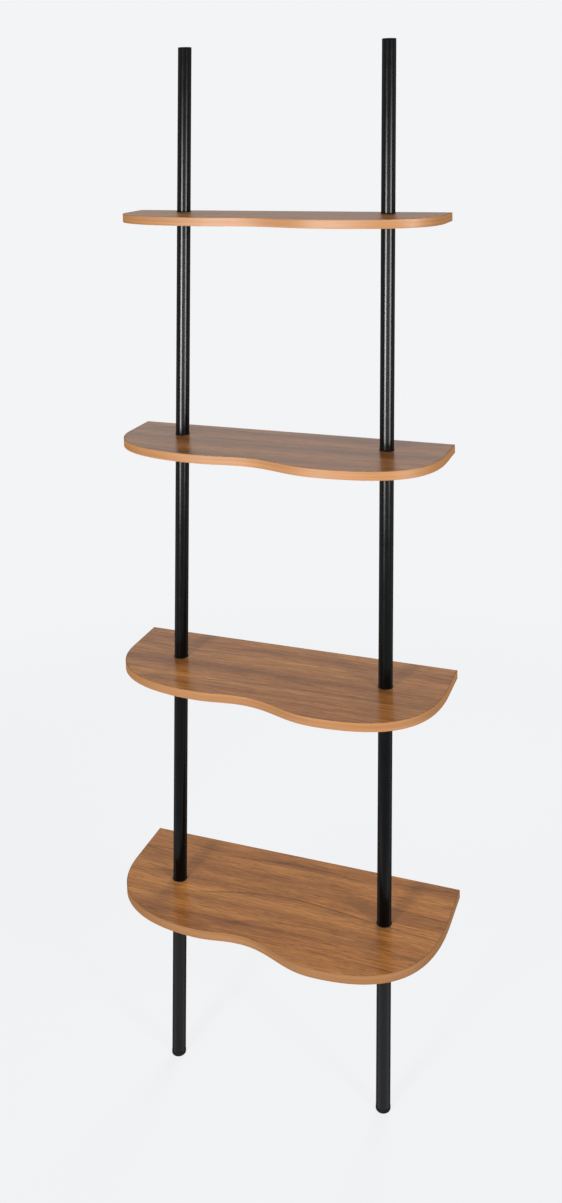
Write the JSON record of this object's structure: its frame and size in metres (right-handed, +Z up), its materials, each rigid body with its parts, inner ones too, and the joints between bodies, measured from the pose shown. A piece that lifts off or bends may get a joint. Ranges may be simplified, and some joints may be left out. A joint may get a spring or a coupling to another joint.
{
  "type": "ladder bookcase",
  "caption": "Leaning ladder bookcase: wavy-fronted wood-look shelves, shallower towards the top, clamped between the sections of slim black round tubes that lean on a wall.",
  "frame": {"origin": "on the floor, under the middle of the bounding box", "axes": "+Z up, -Y towards the front, +Y towards the wall, +X to the right of someone facing the shelves"},
  "size_m": [0.6, 0.278, 1.85],
  "materials": {
    "laminate": "satin wood-grain laminate",
    "edging": "satin wood-tone edge band",
    "powder_coat": "satin black powder coat",
    "zinc": "zinc plated",
    "plastic": "moulded black",
    "rubber": "matt black"
  },
  "bodies": {
    "root": {"bottom_shelf_back_strip": "edging", "bottom_shelf_board": "laminate", "bottom_shelf_edge_band": "edging", "left_bottom_shelf_ring": "plastic", "left_bottom_shelf_stud": "zinc", "left_foot": "rubber", "left_leg": "powder_coat", "left_leg_upper_plug": "zinc", "left_lower_upright": "powder_coat", "left_lower_upright_lower_plug": "zinc", "left_lower_upright_upper_plug": "zinc", "left_middle_upright": "powder_coat", "left_middle_upright_lower_plug": "zinc", "left_middle_upright_upper_plug": "zinc", "left_second_shelf_ring": "plastic", "left_second_shelf_stud": "zinc", "left_third_shelf_ring": "plastic", "left_third_shelf_stud": "zinc", "left_top_cap": "plastic", "left_top_post": "powder_coat", "left_top_post_lower_plug": "zinc", "left_top_shelf_ring": "plastic", "left_top_shelf_stud": "zinc", "left_upper_upright": "powder_coat", "left_upper_upright_lower_plug": "zinc", "left_upper_upright_upper_plug": "zinc", "right_bottom_shelf_ring": "plastic", "right_bottom_shelf_stud": "zinc", "right_foot": "rubber", "right_leg": "powder_coat", "right_leg_upper_plug": "zinc", "right_lower_upright": "powder_coat", "right_lower_upright_lower_plug": "zinc", "right_lower_upright_upper_plug": "zinc", "right_middle_upright": "powder_coat", "right_middle_upright_lower_plug": "zinc", "right_middle_upright_upper_plug": "zinc", "right_second_shelf_ring": "plastic", "right_second_shelf_stud": "zinc", "right_third_shelf_ring": "plastic", "right_third_shelf_stud": "zinc", "right_top_cap": "plastic", "right_top_post": "powder_coat", "right_top_post_lower_plug": "zinc", "right_top_shelf_ring": "plastic", "right_top_shelf_stud": "zinc", "right_upper_upright": "powder_coat", "right_upper_upright_lower_plug": "zinc", "right_upper_upright_upper_plug": "zinc", "second_shelf_back_strip": "edging", "second_shelf_board": "laminate", "second_shelf_edge_band": "edging", "third_shelf_back_strip": "edging", "third_shelf_board": "laminate", "third_shelf_edge_band": "edging", "top_shelf_back_strip": "edging", "top_shelf_board": "laminate", "top_shelf_edge_band": "edging"}
  },
  "joints": []
}
